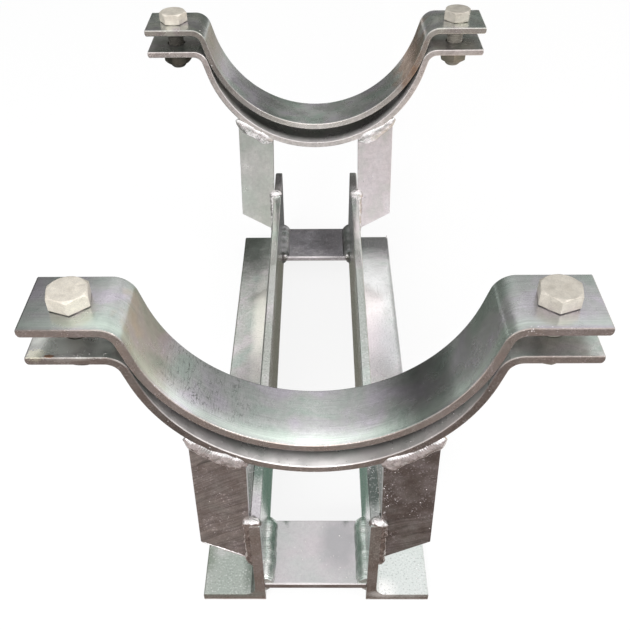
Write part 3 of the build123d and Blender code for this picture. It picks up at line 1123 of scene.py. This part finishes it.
# Drops and runs of zinc: the bath spat small drops that froze on the faces, and drained to a bright run
# along the raked edge of one upright, to drops at two corners of the feet, and to lumps on the rear plate.
zinc_drops, sizes = recipe("zinc_drops", {
    "Density": "Float", "Seed": "Int", "Smallest": "Float", "Largest": "Float", "Middle": "Vector",
    "Reach": "Vector",
})
tree = zinc_drops
drops = {"Mesh": sizes["Start"], "Density": sizes["Density"], "Seed": sizes["Seed"]}
drops = add(tree, "GeometryNodeDistributePointsOnFaces", drops)
here = add(tree, "GeometryNodeInputPosition")
away = vector_maths(tree, "SUBTRACT", here, sizes["Middle"])
away = vector_maths(tree, "DIVIDE", away, sizes["Reach"])
away = split(tree, vector_maths(tree, "ABSOLUTE", away))
far = maths(tree, "MAXIMUM", maths(tree, "MAXIMUM", away["X"], away["Y"]), away["Z"])
patchy = ranged(tree, noise(tree, here, 75, 1), 0.42, 0.62, 0.05, 1)
chance = times(tree, ranged(tree, far, 0.7, 1, 1, 0), patchy)
draw = add(tree, "FunctionNodeRandomValue", {"Seed": 5}).outputs[1]
chosen = {"Geometry": drops, "Selection": maths(tree, "LESS_THAN", draw, chance)}
chosen = add(tree, "GeometryNodeSeparateGeometry", chosen, domain="POINT")
grade = maths(tree, "POWER", add(tree, "FunctionNodeRandomValue", {"Seed": 9}).outputs[1], 3.0)
grade = ranged(tree, grade, 0, 1, sizes["Smallest"], sizes["Largest"])
ball = add(tree, "GeometryNodeMeshIcoSphere", {"Radius": 1.0, "Subdivisions": 2}).outputs["Mesh"]
ball = add(tree, "GeometryNodeSetShadeSmooth", {"Geometry": ball})
drops = add(tree, "GeometryNodeInstanceOnPoints", {
    "Points": chosen, "Instance": ball, "Rotation": drops.outputs["Rotation"],
    "Scale": point(tree, grade, grade, times(tree, grade, 0.6)),
})
close_recipe(tree, drops, sizes["Finish"])

smallest_drop = 0.00012
drop_zinc = zinc("drop_zinc", [(0.88, 0.84, 0.84), (0.94, 0.90, 0.90), (1, 0.97, 0.97)], rough=(0.12, 0.2))
# Each patch of drops: its name, the piece that it lies on, its middle, its reach, how many drops fell on a
# square metre, and the radius of the largest in millimetres.
spattered = [
    ("left_upright", "upright_plate_front_left", (-0.065, -0.2445, 0.1), (0.03, 0.001, 0.05), 52000, 0.45),
    ("right_upright", "upright_plate_front_right", (0.066, -0.2445, 0.11), (0.03, 0.001, 0.06), 42000, 0.5),
    ("inner_edge", "upright_plate_front_right", (0.052, -0.2445, 0.14), (0.006, 0.001, 0.04), 150000, 0.6),
    ("left_foot", "sliding_angle_left", (-0.07, -0.222, 0.008), (0.03, 0.027, 0.001), 26000, 0.3),
    ("right_foot_edge", "sliding_angle_right", (0.085, -0.222, 0.008), (0.006, 0.027, 0.001), 190000, 0.5),
    ("left_toe", "sliding_angle_left", (-0.044, -0.215, 0.099), (0.006, 0.034, 0.003), 160000, 0.4),
    ("right_toe", "sliding_angle_right", (0.044, -0.215, 0.099), (0.006, 0.034, 0.003), 200000, 0.4),
    ("plate", "cross_flat_front", (0.010, -0.218, 0.023), (0.034, 0.03, 0.001), 60000, 0.8),
    ("saddle_edge", "saddle_front", (0.02, -0.2455, 0.2), (0.12, 0.006, 0.08), 60000, 0.6),
    ("lower_left_tab", "saddle_front", (-0.133, -0.2462, 0.267), (0.016, 0.004, 0.004), 180000, 0.4),
    ("cap_right_edge", "cap_front", (0.122, -0.2482, 0.285), (0.034, 0.002, 0.006), 160000, 0.4),
    ("cap_rear_edge", "cap_front", (-0.092, -0.1995, 0.255), (0.03, 0.0016, 0.035), 60000, 0.7),
    ("rear_cap", "cap_rear", (-0.085, 0.2, 0.25), (0.04, 0.006, 0.045), 36000, 0.6),
]
for seed, (name, host, middle, reach, amount, largest) in enumerate(spattered):
    start = bpy.data.objects[host].data.copy()
    piece = grown("zinc_drops_" + name, zinc_drops, start, {
        "Density": amount, "Seed": seed, "Smallest": smallest_drop, "Largest": largest / 1000,
        "Middle": middle, "Reach": reach, "Finish": drop_zinc,
    })
    settle(piece, crease=180)

run_front = upright_fronts["front"] + 0.0002
edge = []
for share, swell in ((0.04, 0.4), (0.15, 0.8), (0.35, 1.0), (0.55, 0.85), (0.75, 0.7), (0.97, 0.4)):
    across = upright_inner + upright_width * share
    height = upright_foot + upright_rise * share
    edge.append((-across + (height - leg_height) * upright_lean, run_front, height, swell))
thin_run = {"Half Width": 0.0009, "Half Depth": 0.0009, "Lumps": 0.00015, "Ripple Height": 0.0}
weld("zinc_run_front_left", edge, None, drop_zinc, thin_run)
corner = [(-0.0885, -0.2485, 0.0012, 0.5), (-0.0886, -0.2487, 0.0011, 1.2), (-0.0884, -0.2489, 0.0011, 0.5)]
weld("zinc_drop_left_foot", corner, None, drop_zinc, thin_run)
spike = [(0.0886, 0.2486, 0.0076, 1.0), (0.0888, 0.2489, 0.0094, 0.7), (0.0890, 0.2491, 0.0108, 0.3)]
weld("zinc_spike_right_foot", spike, None, drop_zinc, thin_run)
lump = [(0.0385, 0.1885, 0.0240, 0.5), (0.0372, 0.1872, 0.0238, 1.0), (0.0352, 0.1872, 0.0230, 0.6)]
thick_run = {**thin_run, "Half Width": 0.0027, "Half Depth": 0.0027}
for side, sign in sides.items():
    mirrored = [(sign * across, y, z, swell) for across, y, z, swell in lump]
    weld("zinc_lump_rear_plate_" + side, mirrored, None, drop_zinc, thick_run)


# The ground and the light: a pale floor in a white room, with dark, warm and bright cards set around it that
# only reflections show, as painted reflections, and soft panels of light above. The cards in the gap between
# the legs and under the rear plate are painted shade there.
floor_half = 12
floor_brightness = 0.86
floor_paint, tree = new_finish("floor_paint")
paint = tree.nodes["Principled BSDF"]
paint.inputs["Base Color"].default_value = (0.9, 0.9, 0.9, 1)
paint.inputs["Roughness"].default_value = 0.9


def seen_directly(tree):
    """1 for what the camera sees, straight or in metal or glass, and 0 for light that falls on things."""
    rays = add(tree, "ShaderNodeLightPath").outputs
    seen = maths(tree, "MAXIMUM", rays["Is Camera Ray"], rays["Is Glossy Ray"])
    return maths(tree, "MAXIMUM", seen, rays["Is Transmission Ray"])


share = times(tree, seen_directly(tree), floor_brightness)
glow = add(tree, "ShaderNodeEmission", {"Color": (1, 1, 1, 1), "Strength": 1.0})
mixed = add(tree, "ShaderNodeMixShader", {0: share, 1: paint, 2: glow})
tree.links.new(mixed.outputs[0], tree.nodes["Material Output"].inputs["Surface"])
corners = [(x * floor_half, y * floor_half, 0) for x, y in ((-1, -1), (1, -1), (1, 1), (-1, 1))]
surface("floor", corners, [(0, 1, 2, 3)], floor_paint)

world = bpy.data.worlds.new("white_room")
world.use_nodes = True
bpy.context.scene.world = world
tree = world.node_tree
strength = ranged(tree, seen_directly(tree), 0, 1, 0.88, 1.0)
tree.links.new(strength, tree.nodes["Background"].inputs["Strength"])
tree.nodes["Background"].inputs["Color"].default_value = (1, 1, 1, 1)


def card(name, corners, colour):
    """A flat card that shows in reflections and nowhere else."""
    paint, tree = new_finish(name)
    glow = add(tree, "ShaderNodeEmission", {"Color": (*colour, 1), "Strength": 1.0})
    tree.links.new(glow.outputs[0], tree.nodes["Material Output"].inputs["Surface"])
    piece = surface(name, corners, [tuple(range(len(corners)))], paint)
    piece.visible_camera = False
    piece.visible_diffuse = False
    piece.visible_shadow = False
    piece.visible_transmission = False


card_height = 0.001
gap_card_half = 0.0397
rear_shade = (0.17, 0.165, 0.135)


def floor_card(name, left, right, near, far, colour):
    """A card that lies just above the floor."""
    corners = [(left, near), (right, near), (right, far), (left, far)]
    card(name, [(x, y, card_height) for x, y in corners], colour)


card("rear_card", [
    (-9, 6, 0), (2.8, 6, 0), (2.8, 6, 4.0), (0.6, 6, 3.9), (-0.7, 6, 4.55), (-9, 6, 4.7),
], (0.13, 0.135, 0.12))
card("left_card", [(-6, -2.0, 0), (-6, 6, 0), (-6, 6, 2.8), (-6, -2.0, 2.8)], (0.12, 0.12, 0.11))
card("front_light_card", [
    (-1.2, -3, 1.9), (1.2, -3, 1.9), (1.2, -3, 3.4), (-1.2, -3, 3.4),
], (2.4, 2.35, 2.3))
floor_card("front_floor_card", -1.2, 1.2, -1.8, -0.2503, (0.22, 0.17, 0.15))
floor_card("rear_floor_card", -0.14, 0.14, 0.2503, 2.4, (0.12, 0.12, 0.12))
floor_card("rear_plate_card", -gap_card_half, gap_card_half, 0.182, 0.25, rear_shade)
for side, sign in sides.items():
    for end, near, far, colour in (
        ("front", -0.178, -0.08, (0.13, 0.20, 0.16)), ("rear", -0.08, 0.182, rear_shade),
    ):
        low, high = (sign * gap_card_half, card_height), (sign * 0.025, 0.05)
        slope = [(x, y, z) for (x, z), y in ((low, near), (low, far), (high, far), (high, near))]
        card(f"{end}_gap_card_{side}", slope, colour)
floor_card("left_floor_card", -2.2, -0.14, -0.2, 2.0, (0.10, 0.105, 0.09))
floor_card("right_floor_card", 0.14, 2.2, -0.2, 2.0, (0.62, 0.54, 0.45))


def panel(name, place, aim, size, power, mirrored):
    """A soft square panel of light at a place, turned to face a point, that metal may mirror or not."""
    data = bpy.data.lights.new(name, "AREA")
    data.size = size
    data.energy = power
    lamp = placed(name, data)
    lamp.location = place
    lamp.rotation_euler = (Vector(aim) - Vector(place)).to_track_quat("-Z", "Y").to_euler()
    lamp.visible_glossy = mirrored


panel("key_panel", (1.3, -0.9, 1.5), (0, 0, 0.15), 0.6, 6, True)
panel("fill_panel", (-1.4, -0.5, 1.6), (0, 0, 0.15), 1.0, 2.5, False)
panel("front_panel", (-0.5, -1.7, 0.8), (0, -0.2, 0.15), 0.8, 36, False)
panel("rear_panel", (0.1, 1.5, 2.3), (0, 0, 0.15), 1.4, 1.5, False)

bpy.context.scene.view_settings.view_transform = "Standard"
